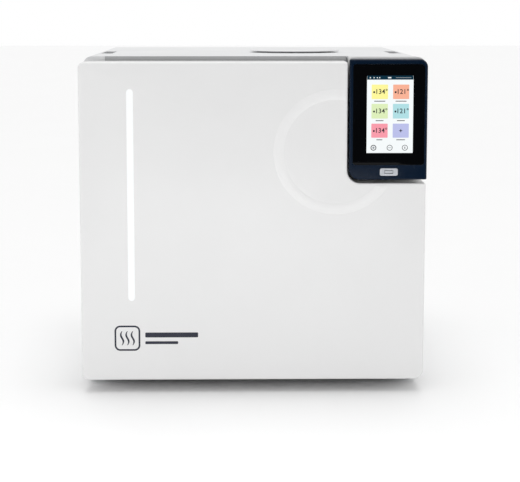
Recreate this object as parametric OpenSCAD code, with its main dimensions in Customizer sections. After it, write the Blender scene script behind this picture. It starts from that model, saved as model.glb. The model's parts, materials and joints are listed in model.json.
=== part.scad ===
// Benchtop autoclave with a full-front hinged door, a touch console and a round
// pressure chamber. X is to the right, -Y is the front and Z is up. The origin
// is on the floor, at the middle of the machine's outer box.

/* [Overall size] */
// Width over the door
overall_w = 480; // [478:1:484]
// Depth from the door's face to the tips of the wall spacers
overall_d = 600; // [598:1:610]
// Height from the floor to the top of the tank lid
overall_h = 473; // [473:1:477]

/* [Door] */
// Height of the door's lower edge above the floor
door_bottom = 18; // [16:1:20]
// Distance of the door's upper edge below the tank lid's top
door_top_drop = 10; // [8:1:12]
// Thickness of the door
door_t = 56; // [56:1:58]
// Wall thickness of the mouldings
wall = 3; // [2.5:0.5:3]
// Left edge of the notch that the console fills
notch_x = 130.6; // [129:0.2:131]
// Lower edge of that notch
notch_z = 295.5; // [294:0.5:296]

/* [Console] */
// Centre of the display, across
display_x = 189; // [188:0.5:190]
// Centre of the display, up
display_z = 391; // [389:0.5:393]
// Width of the display
display_w = 64; // [60:1:66]
// Height of the display
display_h = 106.5; // [100:0.5:108]

/* [Chamber] */
// Centre of the chamber, across
chamber_x = -35; // [-37:1:-33]
// Centre of the chamber, up
chamber_z = 235; // [235:1:237]
// Inner radius of the chamber
chamber_r = 125; // [123:1:125]
// Inner depth of the chamber
chamber_d = 450; // [440:1:450]
// Number of instrument trays
tray_count = 5; // [3:1:5]
// Height from one tray to the next
tray_pitch = 34; // [32:1:34]

/* [Door lock] */
// Travel of each lock bolt
bolt_stroke = 16; // [14:1:16]
// Turn of the lock cam that drives the bolts
cam_turn = 60; // [55:5:60]

/* [Hidden] */
$fn = 72;

// Colours
white = [0.90, 0.91, 0.92];
cover_grey = [0.84, 0.85, 0.86];
trim_grey = [0.55, 0.57, 0.60];
navy = [0.07, 0.11, 0.18];
black = [0.04, 0.05, 0.06];
steel = [0.72, 0.73, 0.75];
dark_steel = [0.42, 0.43, 0.46];
brass = [0.78, 0.62, 0.32];
copper = [0.75, 0.45, 0.30];
silicone = [0.75, 0.30, 0.22];
rubber = [0.12, 0.12, 0.13];
board_green = [0.10, 0.35, 0.22];
tank_plastic = [0.85, 0.88, 0.92];

// Main planes
half_w = overall_w / 2;
front_y = -overall_d / 2;
back_y = overall_d / 2;
door_back = front_y + door_t;
door_top = overall_h - door_top_drop;
side_x = half_w - 3;
cover_top = overall_h - 4;
cabinet_bottom = 14;
trim_front = door_back + 3;
plate_front = trim_front + 9;
sheet = 2;
plate_back = plate_front + sheet;
spacer_l = 30;
rear_face = back_y - spacer_l;
rear_front = rear_face - sheet;
skirt_z = cover_top - 34;

cabinet_soft = 11;
cabinet_hard = 6;

// Light-coloured corner of the top cover that reaches over the front trim
ear_x = 30 - side_x;
ear_z = cover_top - 16;

// Door outline: corner radii, lower left, lower right, upper right, upper left
door_radii = [11, 13, 4, 8];
notch_corner = 18;
notch_lip = 3;

// Light bar: middle, half width, straight length and the flange behind the wall
light_x = -169.5;
light_r = 4.5;
light_z = [chamber_z - 99.5, chamber_z + 186.5];
light_flange = 4;

// Hinge
hinge_x = 10 - half_w;
hinge_y = door_back;
hinge_heights = [door_bottom + 75, door_top - 80];
barrel_r = 7;
pin_r = 4;
knuckle = 13;
leaf_reach = 35;
rebate_w = 21;
rebate_d = 13;
leaf_front = door_back - 8;
leaf_back = leaf_front + 5;

// Door frame and lock
frame_screw_x = [-190, 92];
frame_front = leaf_front - 6;
frame_back = leaf_front;
cam_front = front_y + 17;
cam_back = cam_front + 5;
cam_r = 62;
bolt_r = 8;
bolt_y = frame_front - 9.5;
bolt_inner = 22;
bolt_tip = 149;
follower_r = 4;
follower_at = 30;
slot_half = follower_r + 0.25;
shaft_r = 6;
guide_from = 100;
guide_to = 138;
run_gap = 0.06;
lug_from = 152;
lug_to = 164;
lug_half = 20;
lug_front = bolt_y - 13.5;

// Chamber
shell_r = chamber_r + 2;
flange_r = 150;
flange_front = plate_front - 3;
flange_back = flange_front + 12;
chamber_back = flange_front + chamber_d;
lagging_r = 149;
gasket_r = [128.3, 136.7];

// Console
console_x = [notch_x + 3.4, half_w - 1];
console_low = notch_z + 6.5;
bezel_x = [notch_x + 2.4, half_w];
bezel_z = [notch_z + 5, door_top + 3.7];
bezel_back = front_y + 10;
glass_x = bezel_x + [5, -3];
glass_z = bezel_z + [20.5, -6.7];
glass_radii = [4, 4, 6, 4];
glass_t = 2;
usb_x = 188.3;
usb_z = 311.2;
usb_half = [12.5, 5.25];

// Service niche behind the door
niche_x = [138, 216];
niche_z = [35, 281];
niche_back = plate_front + 42;
niche_mid = (niche_x[0] + niche_x[1]) / 2;
switch_z = 258;
switch_y = niche_back - 8;
switch_tilt = 8;
filter_z = 195;
coupling_z = 85;
coupling_dx = 19;

// Top openings
lid_x = 67;
lid_y = -27;
lid_r = 68;
lid_hole_r = 62;
lid_under = cover_top + 2.2;
lid_axis_y = lid_y + 75;
lid_axis_z = cover_top + 0.5;
grip_x = [207, 224];
grip_y = [-99, 11];
grip_depth = 28;

// Water tank
tank_half = 196;
tank_z = [cover_top - 78, cover_top - 8];
tank_y = [-215, 240];

// Fan
fan_x = 175;
fan_z = 273;
fan_half = 55;
fan_y = [rear_front - 28, rear_front - 2];

// Rear connections
barb_x = [-120, -80];
barb_z = 60;
barb_r = 5;
valve_z = chamber_z + 168;
valve_r = 10;
inlet_x = -180;
inlet_z = 76;
inlet_half = [14, 12];

// Feet
foot_x = 195;
front_foot_y = -195;
rear_foot_y = 225;
foot_h = 12;
floor_z = foot_h + sheet;

// ---------------------------------------------------------------- helpers

// Range round a middle value, from one offset to another
function near(middle, low, high) = [middle + low, middle + high];

// Extrudes an outline drawn in Y and Z along X
module along_x(x) translate([x[0], 0, 0]) rotate([90, 0, 90]) linear_extrude(x[1] - x[0]) children();

// Extrudes an outline drawn in X and Z along Y
module along_y(y) translate([0, y[1], 0]) rotate([90, 0, 0]) linear_extrude(y[1] - y[0]) children();

// Box between two corners, given as a range on each axis
module box(x, y, z) translate([x[0], y[0], z[0]]) cube([x[1] - x[0], y[1] - y[0], z[1] - z[0]]);

// Round bars along each axis
module rod_x(x, y, z, r) translate([x[0], y, z]) rotate([0, 90, 0]) cylinder(h = x[1] - x[0], r = r);
module rod_y(x, y, z, r) translate([x, y[0], z]) rotate([-90, 0, 0]) cylinder(h = y[1] - y[0], r = r);
module rod_z(x, y, z, r) translate([x, y, z[0]]) cylinder(h = z[1] - z[0], r = r);

// Tube along Y
module tube_y(x, y, z, r_in, r_out) {
    difference() {
        rod_y(x, y, z, r_out);
        rod_y(x, [y[0] - 1, y[1] + 1], z, r_in);
    }
}

// Repeats its children mirrored to the other side
module both_sides() {
    children();
    mirror([1, 0, 0]) children();
}

// Rectangle between two ranges
module area(x, z) translate([x[0], z[0]]) square([x[1] - x[0], z[1] - z[0]]);

// What a rounded corner takes away at point p, where the material lies in direction d
module corner_cut(p, d, r) {
    difference() {
        translate([p[0] - (d[0] > 0 ? 1 : r), p[1] - (d[1] > 0 ? 1 : r)]) square(r + 1);
        translate(p + d * r) circle(r);
    }
}

// Rectangle with corner radii: lower left, lower right, upper right, upper left
module round_area(x, z, r) {
    difference() {
        area(x, z);
        corner_cut([x[0], z[0]], [1, 1], r[0]);
        corner_cut([x[1], z[0]], [-1, 1], r[1]);
        corner_cut([x[1], z[1]], [-1, -1], r[2]);
        corner_cut([x[0], z[1]], [1, -1], r[3]);
    }
}

// Cabinet's outline from the front, drawn in by the given distance
module cabinet_area(inset = 0) {
    soft = cabinet_soft - inset;
    hard = cabinet_hard - inset;
    round_area([inset - side_x, side_x - inset], [cabinet_bottom + inset, cover_top - inset],
        [hard, hard, soft, soft]);
}

// Door's outline from the front, with the console's notch, drawn in by the given distance
module door_area(inset = 0) {
    x = notch_x - inset;
    z = notch_z - inset;
    difference() {
        round_area([inset - half_w, half_w - inset], [door_bottom + inset, door_top - inset],
            [for (r = door_radii) max(r - inset, 1)]);
        difference() {
            area([x, half_w + 5], [z, door_top + 5]);
            corner_cut([x, z], [1, 1], notch_corner + inset);
        }
        if (inset == 0) {
            corner_cut([x, door_top], [-1, -1], notch_lip);
            corner_cut([half_w, z], [-1, -1], notch_lip);
        }
    }
}

// Console's outline between two ranges
module console_area(x, z) round_area(x, z, [15, 2, 11, 3]);

// Screw head and shank along Y, with a hexagon socket, head towards -Y
module screw_y(head_r, l) {
    difference() {
        union() {
            rod_y(0, [-2, 0], 0, head_r);
            rod_y(0, [0, l], 0, head_r / 2);
        }
        translate([0, -2.1, 0]) rotate([-90, 0, 0]) cylinder(h = 1.3, r = head_r / 2, $fn = 6);
    }
}

// Bent pipe through a list of points, round at its corners
module pipe(points, r) {
    for (i = [1 : len(points) - 1]) {
        run = points[i] - points[i - 1];
        translate(points[i - 1])
            rotate([0, acos(run[2] / norm(run)), atan2(run[1], run[0])])
                cylinder(h = norm(run), r = r, $fn = 24);
    }
    for (i = [1 : len(points) - 2]) translate(points[i]) sphere(r, $fn = 24);
}

// ---------------------------------------------------------------- door

// Front moulding of the door, open at the back, set in at the hinge edge
module door_shell() {
    inner_x = rebate_w - half_w;
    color(white) difference() {
        union() {
            difference() {
                along_y([front_y, door_back]) door_area();
                difference() {
                    along_y([front_y + wall, door_back + 1]) door_area(wall);
                    box([-half_w, inner_x + wall], [door_back - rebate_d - wall, door_back + 1],
                        [door_bottom, door_top]);
                }
            }
            frame_points() rod_y(0, [front_y + wall - 0.5, frame_front], 0, 6);
        }
        box([-half_w - 1, inner_x], [door_back - rebate_d, door_back + 1],
            [door_bottom - 1, door_top + 1]);
        for (z = hinge_heights)
            box([inner_x - 1, inner_x + wall + 1], [leaf_front - 1, door_back + 1],
                [z - leaf_reach - 1, z + leaf_reach + 1]);
        along_y([front_y - 1, front_y + wall + 1]) light_slot(0.1);
        frame_points() rod_y(0, [frame_front - 12, frame_front + 1], 0, 2);
    }
}

// Places where the frame is screwed to the shell, beside the hinges and the pressure plate
module frame_points() {
    for (z = [hinge_heights[0] - 30, hinge_heights[1] + 30]) translate([frame_screw_x[0], 0, z]) children();
    for (z = [chamber_z - 108, chamber_z + 108]) translate([frame_screw_x[1], 0, z]) children();
}

// Slot of the light bar, widened by the given distance
module light_slot(gap = 0) {
    area(near(light_x, -light_r - gap, light_r + gap), light_z);
    for (z = light_z) translate([light_x, z]) circle(light_r + gap);
}

// Milky bar that lights the door's front, with a glued flange behind the wall
module light_guide() {
    reach = light_r + light_flange;
    color(white) {
        along_y([front_y, front_y + wall + 0.5]) light_slot();
        box(near(light_x, -reach, reach), [front_y + wall + 0.1, front_y + wall + 5],
            light_z + [-reach, reach]);
    }
}

// Steel plate that carries the pressure plate, the lock and the hinge leaves
module door_frame() {
    color(steel) difference() {
        union() {
            along_y([frame_front, frame_back]) {
                area([-206, -164], [hinge_heights[0] - 45, hinge_heights[1] + 45]);
                area([-165, 106], [chamber_z - 122, chamber_z + 122]);
                area([chamber_x - 30, chamber_x + 30], [chamber_z - guide_to, chamber_z + guide_to]);
            }
            for (s = [-1, 1])
                bolt_guide(s);
        }
        for (s = [-1, 1])
            rod_z(chamber_x, bolt_y, near(chamber_z + s * 119, -21, 21), bolt_r + run_gap);
        rod_y(chamber_x, [frame_front - 1, frame_back + 1], chamber_z, shaft_r + run_gap);
        frame_points() rod_y(0, [frame_front - 1, frame_back + 1], 0, 3);
        for (x = [-130, 60], z = [chamber_z - 60, chamber_z + 60])
            rod_y(x, [frame_front - 1, frame_back + 1], z, 22);
    }
}

// Block that guides one lock bolt, above (1) or below (-1) the middle
module bolt_guide(s) {
    z = [min(s * guide_from, s * guide_to) + chamber_z, max(s * guide_from, s * guide_to) + chamber_z];
    box([chamber_x - 14, chamber_x + 14], [bolt_y - 12, frame_front + 0.5], z);
}

// Moulded panel on the door's back, round the pressure plate
module door_liner() {
    color(cover_grey) difference() {
        along_y([door_back - 2.5, door_back]) door_area(wall + 0.2);
        box([-half_w, rebate_w - half_w + wall + 0.3], [door_back - 5, door_back + 1],
            [door_bottom, door_top]);
        rod_y(chamber_x, [door_back - 5, door_back + 1], chamber_z, 141.5);
        for (s = [-1, 1])
            box([chamber_x - 27, chamber_x + 27], [door_back - 5, door_back + 1],
                [chamber_z + s * 158 - 9, chamber_z + s * 158 + 9]);
    }
}

// Polished disc that closes the chamber
module pressure_plate() {
    color(steel) difference() {
        union() {
            rod_y(chamber_x, [door_back - 6, flange_front - 1], chamber_z, 140);
            rod_y(chamber_x, [frame_back, door_back - 6], chamber_z, 40);
        }
        tube_y(chamber_x, [flange_front - 7, flange_front], chamber_z,
            gasket_r[0] - 0.3, gasket_r[1] + 0.3);
        rod_y(chamber_x, [frame_back - 1, frame_back + 4], chamber_z, shaft_r + 1);
    }
}

// Silicone ring in the pressure plate's groove
module door_gasket() {
    color(silicone) tube_y(chamber_x, [flange_front - 7, flange_front - 0.4], chamber_z,
        gasket_r[0], gasket_r[1]);
}

// Two hinge leaves on the door, each with a barrel above and below its bracket
module hinge_leaves() {
    color(dark_steel) for (z = hinge_heights) hinge_leaf(z);
}

module hinge_leaf(z) {
    difference() {
        union() {
            for (s = [-1, 1])
                rod_z(hinge_x, hinge_y, near(z + s * 24.25, -10.75, 10.75), barrel_r);
            for (s = [-1, 1])
                box([hinge_x, -170], [leaf_front, leaf_back], near(z + s * 24.25, -10.75, 10.75));
            box([-214, -170], [leaf_front, leaf_back], [z - leaf_reach, z + leaf_reach]);
        }
        rod_z(hinge_x, hinge_y, [z - leaf_reach - 1, z + leaf_reach + 1], pin_r + run_gap);
        for (s = [-1, 1])
            rod_y(-182, [leaf_front - 1, leaf_back + 1], z + s * 18, 3);
    }
}

// Gear motor that turns the lock cam
module lock_motor() {
    color(dark_steel) difference() {
        rod_y(chamber_x, [front_y + wall + 1, cam_front - 1], chamber_z, 32);
        rod_y(chamber_x, [cam_front - 6, cam_front], chamber_z, shaft_r + run_gap);
    }
}

// Bracket that holds the lock motor over the cam
module lock_bracket() {
    reach = 52;
    color(steel) difference() {
        union() {
            along_y([cam_front - 3, cam_front - 1]) round_area(near(chamber_x, -reach - 7, reach + 7),
                near(chamber_z, -reach - 7, reach + 7), [7, 7, 7, 7]);
            for (x = [-reach, reach], z = [-reach, reach])
                rod_y(chamber_x + x, [cam_front - 2, frame_front], chamber_z + z, 5);
        }
        rod_y(chamber_x, [cam_front - 4, cam_front], chamber_z, 32.2);
    }
}

// Middle line of the cam's upper slot: its radius grows evenly with the turn
cam_rate = bolt_stroke / (cam_turn * PI / 180);
function slot_radius(a) = follower_at + cam_rate * a * PI / 180;
function slot_middle(a) = slot_radius(a) * [sin(a), cos(a)];
function slot_slope(a) = cam_rate * [sin(a), cos(a)] + slot_radius(a) * [cos(a), -sin(a)];
function slot_ahead(a) = slot_slope(a) / norm(slot_slope(a));
function slot_left(a) = [-slot_ahead(a)[1], slot_ahead(a)[0]];

// Points round one end of the slot; side is 1 at the far end and -1 at the near end
function slot_end(a, side) = [for (t = [15 : 15 : 165])
    slot_middle(a) + side * slot_half * (cos(t) * slot_left(a) + sin(t) * slot_ahead(a))];

// Slot with round ends, drawn as one outline round its middle line
module cam_slot() {
    steps = 20;
    turns = [for (i = [0 : steps]) i * cam_turn / steps];
    polygon(concat(
        [for (a = turns) slot_middle(a) + slot_half * slot_left(a)],
        slot_end(cam_turn, 1),
        [for (i = [steps : -1 : 0]) slot_middle(turns[i]) - slot_half * slot_left(turns[i])],
        slot_end(0, -1)));
}

// Disc with two spiral slots, on a shaft between the motor and the frame
module lock_cam() {
    color(steel) {
        translate([chamber_x, 0, chamber_z]) along_y([cam_front, cam_back]) difference() {
            circle(cam_r);
            cam_slot();
            rotate(180) cam_slot();
            for (a = [10, 190]) rotate(a) translate([42, 0]) circle(9);
        }
        rod_y(chamber_x, [cam_front - 5, frame_back - 0.5], chamber_z, shaft_r);
    }
}

// Lock bolt with the follower pin that runs in the cam's slot
module lock_bolt() {
    color(steel) translate([chamber_x, 0, chamber_z]) {
        rod_z(0, bolt_y, [bolt_inner, bolt_tip - 2], bolt_r);
        translate([0, bolt_y, bolt_tip - 2]) cylinder(h = 2, r1 = bolt_r, r2 = bolt_r - 2);
        rod_y(0, [cam_front + 0.5, bolt_y], follower_at, follower_r);
    }
}

module upper_bolt() lock_bolt();

module lower_bolt() translate([0, 0, 2 * chamber_z]) mirror([0, 0, 1]) lock_bolt();

// ---------------------------------------------------------------- cabinet front

// Hinge brackets screwed to the chassis, each with one barrel
module hinge_brackets() {
    color(dark_steel) for (z = hinge_heights) difference() {
        union() {
            rod_z(hinge_x, hinge_y, [z - knuckle, z + knuckle], barrel_r);
            box([hinge_x - 5, hinge_x + 5], [hinge_y, plate_front - 2], [z - knuckle, z + knuckle]);
            box([hinge_x - 6, hinge_x + 9], [plate_front - 3, plate_front], [z - 36, z + 36]);
        }
        rod_z(hinge_x, hinge_y, [z - 40, z + 40], pin_r + 0.02);
    }
}

// Hinge pins, one through each bracket and its leaf
module hinge_pins() {
    color(steel) for (z = hinge_heights) rod_z(hinge_x, hinge_y, [z - 36, z + 36], pin_r);
}

// Grey moulding round the cabinet's front, seen over the door
module front_trim() {
    color(trim_grey) difference() {
        along_y([trim_front, plate_front]) difference() {
            cabinet_area();
            area([24 - side_x, side_x - 14], [28, cover_top - 16]);
            area([notch_x + 1, side_x + 5], [notch_z + 3, cover_top + 5]);
            area([-side_x - 1, ear_x + 0.3], [ear_z - 0.3, cover_top + 1]);
        }
        for (z = hinge_heights)
            box([-half_w, hinge_x + 11], [trim_front - 1, plate_front + 1], [z - 37.5, z + 37.5]);
    }
}

// Welded front plate with two rails that carry the water tank
module chassis() {
    color(steel) {
        along_y([plate_front, plate_back]) difference() {
            cabinet_area(sheet + 0.2);
            translate([chamber_x, chamber_z]) circle(flange_r + 0.5);
            area(near(chamber_x, -lug_half - 2, lug_half + 2), near(chamber_z, -lug_to - 2, lug_to + 2));
            area(niche_x, niche_z);
            area([160, 215], near(display_z, -20, 20));
        }
        both_sides() difference() {
            box([199, side_x - sheet - 1], [plate_back - 0.5, rear_front], [tank_z[0] - 22, tank_z[0]]);
            box([198, side_x - sheet - 3], [plate_back, rear_front + 1], [tank_z[0] - 23, tank_z[0] - 2]);
        }
    }
}

// Console's white housing on the chassis
module console_housing() {
    z = [console_low, cover_top];
    color(white) difference() {
        along_y([bezel_back, plate_front]) console_area(console_x, z);
        along_y([bezel_back + wall, plate_front + 1])
            console_area(console_x + [wall, -wall], z + [wall, -wall]);
        box(near(display_x, -20, 20), [bezel_back - 1, bezel_back + wall + 1], near(display_z, -20, 20));
        box(near(usb_x, -7.4, 7.4), [bezel_back - 1, bezel_back + wall + 1], near(usb_z, -4, 4));
    }
}

// Navy front frame of the console
module console_bezel() {
    color(navy) difference() {
        along_y([front_y, bezel_back]) console_area(bezel_x, bezel_z);
        along_y([front_y - 1, front_y + glass_t + 0.3])
            round_area(glass_x + [-0.2, 0.2], glass_z + [-0.2, 0.2], glass_radii);
        box(near(display_x, -(display_w + 1) / 2, (display_w + 1) / 2), [front_y, bezel_back - 1.5],
            near(display_z, -(display_h + 1) / 2, (display_h + 1) / 2));
        box(near(display_x, -20, 20), [front_y, bezel_back + 1], near(display_z, -20, 20));
        along_y([front_y - 1, front_y + 2.5]) usb_area(0.1);
        box(near(usb_x, -7.4, 7.4), [front_y, bezel_back + 1], near(usb_z, -4, 4));
    }
}

// Rounded outline of the USB port's face plate, widened by the given distance
module usb_area(gap = 0) {
    r = 2.4 + gap;
    w = usb_half[0] + gap;
    h = usb_half[1] + gap;
    round_area(near(usb_x, -w, w), near(usb_z, -h, h), [r, r, r, r]);
}

// Black glass over the display
module console_glass() {
    color(black) along_y([front_y + 0.2, front_y + glass_t + 0.2])
        round_area(glass_x, glass_z, glass_radii);
}

// Display module behind the glass
module display_panel() {
    color([0.8, 0.9, 0.95]) {
        box(near(display_x, -display_w / 2, display_w / 2), [front_y + glass_t + 0.3, bezel_back - 1.6],
            near(display_z, -display_h / 2, display_h / 2));
        box(near(display_x, -18, 18), [bezel_back - 2, bezel_back + 5], near(display_z, -18, 18));
    }
}

// USB port: face plate, sleeve and contact tongue
module usb_port() {
    color(steel) {
        difference() {
            union() {
                along_y([front_y + 0.2, front_y + 2.4]) usb_area();
                box(near(usb_x, -7, 7), [front_y + 2, front_y + 20], near(usb_z, -3.6, 3.6));
            }
            box(near(usb_x, -6.25, 6.25), [front_y - 1, front_y + 17], near(usb_z, -2.55, 2.55));
        }
        box(near(usb_x, -5.3, 5.3), [front_y + 4, front_y + 18], near(usb_z, -1.2, 0.6));
    }
}

// ---------------------------------------------------------------- service niche

// Moulded niche behind the door with the switch frame and the filter's seat
module service_niche() {
    inner_x = niche_x + [2.2, -2.2];
    inner_z = niche_z + [2.2, -2.2];
    color(cover_grey) difference() {
        union() {
            box(niche_x + [0.2, -0.2], [plate_front, niche_back], niche_z + [0.2, -0.2]);
            box(niche_x + [-4, 4], [plate_front - 2, plate_front], niche_z + [-4, 4]);
        }
        difference() {
            box(inner_x, [plate_front - 3, niche_back - 2], inner_z);
            box(near(niche_mid, -15, 15), [switch_y - 8, niche_back], near(switch_z, -13, 13));
            rod_y(niche_mid, [niche_back - 6, niche_back], filter_z, 16);
        }
        box(near(niche_mid, -11.5, 11.5), [switch_y - 9, niche_back + 1], near(switch_z, -9.5, 9.5));
        rod_x(near(niche_mid, -14, 14), switch_y, switch_z, 2 + run_gap);
        rod_y(niche_mid, [niche_back - 7, niche_back + 1], filter_z, 6 + run_gap);
        for (s = [-1, 1])
            rod_y(niche_mid + s * coupling_dx, [niche_back - 3, niche_back + 1], coupling_z, 8.1);
    }
}

// Power rocker, tilted to its off side
module power_rocker() {
    profile = [[3, -8], [3, 8], [-8, 8], [-6.5, 0], [-8, -8]];
    color(black) {
        difference() {
            translate([0, switch_y, switch_z]) rotate([switch_tilt, 0, 0])
                along_x(near(niche_mid, -11.2, 11.2)) polygon(profile);
            translate([0, switch_y, switch_z]) rotate([switch_tilt, 0, 0])
                box(near(niche_mid, -1, 1), [-9, -6.6], [3, 6]);
        }
        rod_x(near(niche_mid, -13.5, 13.5), switch_y, switch_z, 2);
    }
}

// Screw-in bacteriological filter: ribbed housing and stem
module bacteria_filter() {
    color(white) difference() {
        union() {
            rod_y(niche_mid, [plate_front + 6, niche_back - 10], filter_z, 28);
            rod_y(niche_mid, [plate_front + 13, niche_back - 17], filter_z, 30.5);
            rod_y(niche_mid, [niche_back - 10, niche_back - 6.4], filter_z, 12);
            rod_y(niche_mid, [niche_back - 6.5, niche_back - 1], filter_z, 6);
        }
        rod_y(niche_mid, [plate_front + 5, plate_front + 16], filter_z, 5);
        for (i = [0 : 11])
            translate([niche_mid, 0, filter_z]) rotate([0, i * 30 + 15, 0])
                box([12, 25], [plate_front + 5, plate_front + 9], [-1.2, 1.2]);
    }
}

// Filling and draining couplings in the niche's back
module hose_couplings() {
    color(brass) for (s = [-1, 1]) {
        x = niche_mid + s * coupling_dx;
        difference() {
            union() {
                rod_y(x, [plate_front + 2, niche_back + 14], coupling_z, 8);
                rod_y(x, [niche_back - 8, niche_back - 2.1], coupling_z, 12);
                rod_y(x, [plate_front + 2, plate_front + 4], coupling_z, 9.5);
            }
            rod_y(x, [plate_front + 1, niche_back - 4], coupling_z, 4.5);
        }
    }
}

// Sliding release collar of one coupling
module coupling_collar(s, tint) {
    color(tint) difference() {
        tube_y(niche_mid + s * coupling_dx, [plate_front + 5, plate_front + 24], coupling_z, 8.3, 13);
        for (i = [0 : 11])
            translate([niche_mid + s * coupling_dx, 0, coupling_z]) rotate([0, i * 30, 0])
                box([12.2, 14], [plate_front + 8, plate_front + 21], [-1, 1]);
    }
}

module fill_collar() coupling_collar(-1, [0.20, 0.40, 0.75]);

module drain_collar() coupling_collar(1, [0.45, 0.46, 0.48]);

// ---------------------------------------------------------------- chamber

// Pressure vessel with its door flange and the two keepers for the bolts
module chamber() {
    color(steel) difference() {
        union() {
            rod_y(chamber_x, [flange_front, flange_back], chamber_z, flange_r);
            rod_y(chamber_x, [flange_front, chamber_back + 4], chamber_z, shell_r);
            rod_y(chamber_x, [chamber_back, chamber_back + 12], chamber_z, 16);
            for (s = [-1, 1]) {
                box(near(chamber_x, -lug_half, lug_half), [lug_front, flange_back],
                    near(chamber_z + s * (lug_from + lug_to) / 2, -6, 6));
                box(near(chamber_x, -lug_half, lug_half), [flange_front, flange_back],
                    near(chamber_z + s * 146, -10, 10));
            }
        }
        rod_y(chamber_x, [flange_front - 1, chamber_back], chamber_z, chamber_r);
        rod_y(chamber_x, [chamber_back - 1, chamber_back + 13], chamber_z, 5);
        for (s = [-1, 1])
            rod_z(chamber_x, bolt_y, near(chamber_z + s * 158, -10, 10), bolt_r + 0.3);
    }
}

// Heating bands round the vessel, each with a clamping box
module heater_bands() {
    color(dark_steel) for (y = [-150, -20, 110]) {
        tube_y(chamber_x, [y - 20, y + 20], chamber_z, shell_r + 0.1, shell_r + 3);
        box(near(chamber_x, -12, 12), [y - 8, y + 8], near(chamber_z - shell_r, -5, -1));
    }
}

// Lagging round the vessel
module insulation() {
    color([0.93, 0.90, 0.78])
        tube_y(chamber_x, [flange_back + 2, chamber_back - 4], chamber_z, shell_r + 6, lagging_r);
}

// Wire-formed rack: side plates with tray runners, joined front and back
module tray_rack() {
    side = 89;
    half_h = (tray_count - 1) / 2 * tray_pitch + 12;
    y = [flange_front + 30, chamber_back - 30];
    color(steel) translate([chamber_x, 0, chamber_z]) {
        for (s = [-1, 1]) {
            difference() {
                box(near(s * side, -0.6, 0.6), y, [-half_h + 4, half_h]);
                for (i = [0 : 3])
                    box(near(s * side, -1, 1), near(y[0] + 20 + i * 95, 0, 70),
                        [-half_h + 14, half_h - 10]);
            }
            for (i = [0 : tray_count - 1])
                box(near(s * (side - 1.5), -2, 2), y, near(tray_offset(i), -1.6, -0.4));
        }
        for (end = [y[0] + 3, y[1] - 3], z = [-half_h + 6, half_h - 3])
            rod_x([-side, side], end, z, 2);
    }
}

function tray_offset(i) = (i - (tray_count - 1) / 2) * tray_pitch;

// Flat perforated instrument trays with a low rim, on the runners
module trays() {
    color(steel) for (i = [0 : tray_count - 1])
        translate([chamber_x, 0, chamber_z + tray_offset(i)]) tray();
}

module tray() {
    half = 86;
    y = [flange_front + 36, chamber_back - 40];
    difference() {
        box([-half, half], y, [-0.2, 2.8]);
        box([1 - half, half - 1], y + [1, -1], [0.8, 3]);
        for (row = [-1, 0, 1], i = [0 : 5])
            box(near(row * 52, -18, 18), near(y[0] + 24 + i * 58, 0, 12), [-1, 2]);
    }
}

// ---------------------------------------------------------------- covers

// Top cover with side skirts, a front corner over the hinge, the tank opening and the grip openings
module top_cover() {
    color(cover_grey) {
        cover_shell();
        along_y([trim_front, plate_front]) intersection() {
            cabinet_area();
            area([-side_x, ear_x], [ear_z, cover_top]);
        }
    }
}

module cover_shell() {
    difference() {
        along_y([plate_front, rear_front]) cabinet_area();
        along_y([plate_front - 1, rear_front + 1]) cabinet_area(sheet);
        box([-half_w, half_w], [plate_front - 1, rear_front + 1], [0, skirt_z]);
        rod_z(lid_x, lid_y, [cover_top - 5, cover_top + 1], lid_hole_r);
        box(near(lid_x, -21, 21), near(lid_axis_y, -6, 5), [cover_top - 5, cover_top + 1]);
        both_sides() box(grip_x, grip_y, [cover_top - 5, cover_top + 1]);
        side_screw_places() screw_hole();
    }
}

// Two cups under the grip openings
module carry_grips() {
    z = [cover_top - sheet - grip_depth, cover_top - sheet];
    color(trim_grey) both_sides() difference() {
        box(grip_x + [-2, 2], grip_y + [-2, 2], z);
        box(grip_x, grip_y, z + [2, 1]);
    }
}

// Side panel with cooling slots
module side_panel() {
    difference() {
        box([side_x - sheet, side_x], [plate_back + 0.2, rear_front], [cabinet_bottom, skirt_z - 1]);
        for (column = [0, 1], row = [0 : 8])
            box([side_x - 5, side_x + 1], near(90 + column * 80, 0, 64), near(60 + row * 14, 0, 5));
        side_screw_places() screw_hole();
    }
}

module left_panel() color(cover_grey) mirror([1, 0, 0]) side_panel();

module right_panel() color(cover_grey) side_panel();

// Floor of the cabinet with folded edges and the two saddles of the chamber
module base_plate() {
    x = side_x - sheet - 0.2;
    y = [plate_back + 0.2, rear_front - 0.2];
    color(steel) difference() {
        union() {
            box([-x, x], y, [foot_h, floor_z]);
            both_sides() box([x - sheet, x], y, [foot_h, foot_h + 14]);
            for (saddle = [-110, 130])
                box([-130, 60], near(saddle, 0, sheet), [foot_h, chamber_z - 80]);
        }
        rod_y(chamber_x, [-200, 200], chamber_z, lagging_r + 0.3);
        both_sides() rod_z(foot_x, front_foot_y, [foot_h - 1, floor_z + 1], 4 + run_gap);
    }
}

// Rear panel with the fan grille and the service openings
module rear_panel() {
    color(cover_grey) difference() {
        along_y([rear_front, rear_face]) cabinet_area();
        for (i = [-4 : 4]) {
            reach = sqrt(48 * 48 - pow(i * 11, 2));
            box(near(fan_x, -reach, reach), [rear_front - 1, rear_face + 1], near(fan_z + i * 11, -3, 3));
        }
        box(near(inlet_x, -inlet_half[0] - 0.3, inlet_half[0] + 0.3), [rear_front - 1, rear_face + 1],
            near(inlet_z, -inlet_half[1] - 0.3, inlet_half[1] + 0.3));
        for (x = barb_x) rod_y(x, [rear_front - 1, rear_face + 1], barb_z, barb_r + 0.3);
        rod_y(chamber_x, [rear_front - 1, rear_face + 1], valve_z, valve_r + 0.3);
        rear_screw_places() screw_hole();
    }
}

// ---------------------------------------------------------------- water

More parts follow.
